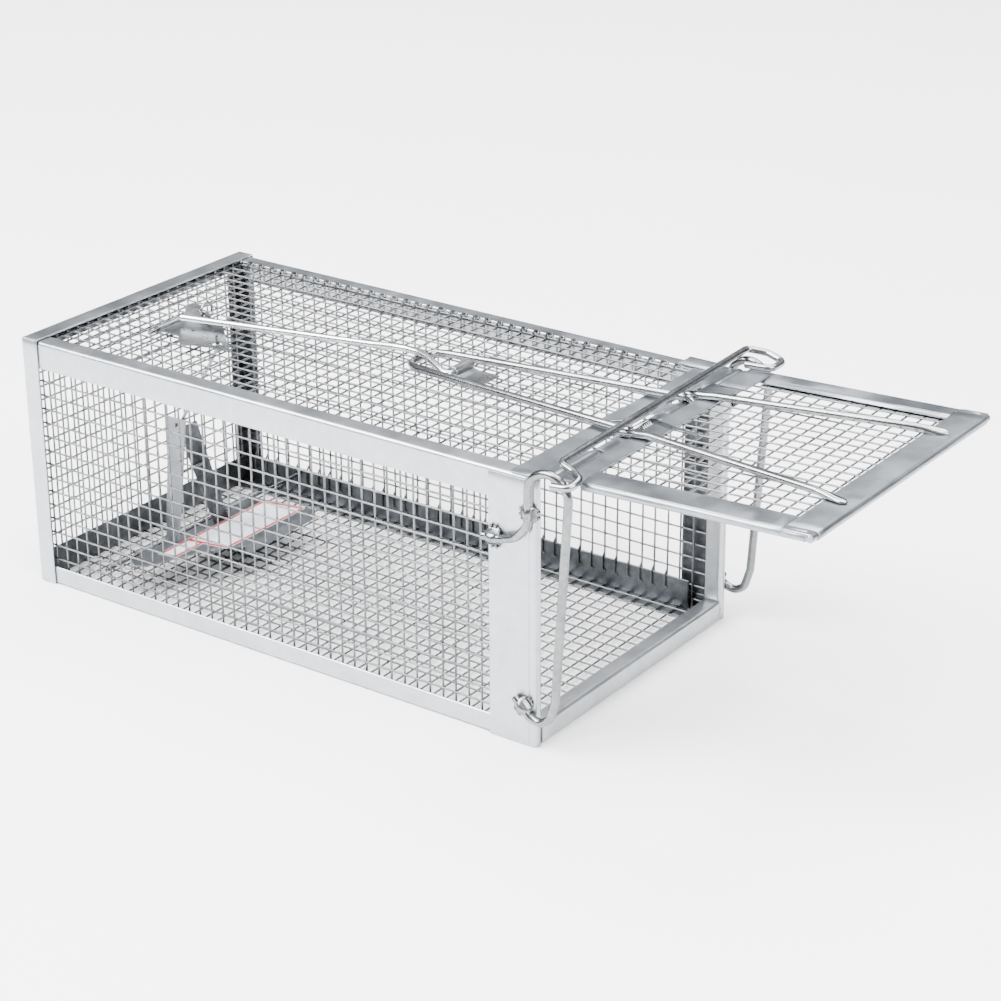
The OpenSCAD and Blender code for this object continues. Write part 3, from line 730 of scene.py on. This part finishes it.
def paper(nodes, links, shader):
    """White paper with a red line set in from the edge of its two parts."""
    coords = nodes.new("ShaderNodeTexCoord")
    fac = noise_node(nodes, links, coords, 130, 3, 0.6)
    white = ramp(nodes, links, fac, 0.3, 0.7, (0.6, 0.61, 0.66), (0.72, 0.73, 0.77))
    split = nodes.new("ShaderNodeSeparateXYZ")
    links.new(coords.outputs["Generated"], split.inputs[0])
    label_x, label_y = 24, 71
    depths = []
    for x0, x1, y0, y1 in ((0, label_x, 18, label_y), (0, 10, 0, 19.5)):
        edges = []
        for axis, size, low, high in (("X", label_x, x0, x1), ("Y", label_y, y0, y1)):
            at = maths(nodes, links, "MULTIPLY", split.outputs[axis], size)
            off = maths(nodes, links, "ABSOLUTE", maths(nodes, links, "SUBTRACT", at, (low + high) / 2))
            edges.append(maths(nodes, links, "SUBTRACT", (high - low) / 2, off))
        depths.append(maths(nodes, links, "MINIMUM", *edges))
    depth = maths(nodes, links, "MAXIMUM", *depths)
    from_line = maths(nodes, links, "ABSOLUTE", maths(nodes, links, "SUBTRACT", depth, 1.0))
    line = maths(nodes, links, "LESS_THAN", from_line, 0.75)
    mix = nodes.new("ShaderNodeMix")
    mix.data_type = "RGBA"
    links.new(line, mix.inputs["Factor"])
    links.new(white, mix.inputs["A"])
    mix.inputs["B"].default_value = (0.42, 0.004, 0.006, 1)
    links.new(mix.outputs["Result"], shader.inputs["Base Color"])
    shader.inputs["Roughness"].default_value = 0.45


paint("treadle_label", material("label_paper", paper))


# ---------------------------------------------------------------- floor, light, camera

def floor_look(nodes, links, shader):
    """Pale matt floor."""
    coords = nodes.new("ShaderNodeTexCoord")
    fac = noise_node(nodes, links, coords, 6, 2, 0.5)
    pale = ramp(nodes, links, fac, 0.3, 0.7, (0.9, 0.9, 0.9), (0.92, 0.92, 0.92))
    links.new(pale, shader.inputs["Base Color"])
    shader.inputs["Roughness"].default_value = 0.6


bpy.ops.mesh.primitive_plane_add(size=12, location=(0, 0, -0.0002))
ground = bpy.context.object
ground.name = "ground"
ground.data.materials.append(material("ground_pale", floor_look))


def softbox(name, location, size, power):
    """Area light aimed at the middle of the trap."""
    light = bpy.data.lights.new(name, "AREA")
    light.shape = "RECTANGLE"
    light.size, light.size_y = size
    light.energy = power
    obj = bpy.data.objects.new(name, light)
    obj.location = location
    obj.rotation_euler = (Vector((0, 0, 0.05)) - Vector(location)).to_track_quat("-Z", "Y").to_euler()
    bpy.context.scene.collection.objects.link(obj)


softbox("key", (-1.1, -1.2, 1.9), (1.5, 1.5), 240)
softbox("fill", (1.7, -0.6, 1.5), (1.3, 1.3), 100)
softbox("back", (-0.2, 1.4, 2.6), (1.8, 1.0), 110)
softbox("top", (0.0, -0.2, 2.4), (1.6, 1.6), 110)

world = bpy.data.worlds.new("studio")
world.use_nodes = True
sky, sky_links = world.node_tree.nodes, world.node_tree.links
where = sky.new("ShaderNodeTexCoord")
split = sky.new("ShaderNodeSeparateXYZ")
sky_links.new(where.outputs["Generated"], split.inputs[0])
shade = ramp(sky, sky_links, split.outputs["Z"], 0.15, 0.8, (0.17, 0.195, 0.225), (0.9, 0.92, 0.95))
sky_links.new(shade, sky["Background"].inputs["Color"])
bpy.context.scene.world = world

# the camera's three axes and its place in the row frame, in metres
right = Vector((0.81223, 0.58331, -0.00596))
down = Vector((0.23008, -0.32972, -0.91562))
forward = Vector((-0.53605, 0.74232, -0.40201))
camera_data = bpy.data.cameras.new("camera")
camera_data.sensor_width = 36
camera_data.lens = 94.3
camera = bpy.data.objects.new("camera", camera_data)
matrix = Matrix((right, -down, -forward)).transposed().to_4x4()
matrix.translation = Vector((0.58129, -0.79378, 0.49201))
camera.matrix_world = matrix
bpy.context.scene.collection.objects.link(camera)
bpy.context.scene.camera = camera
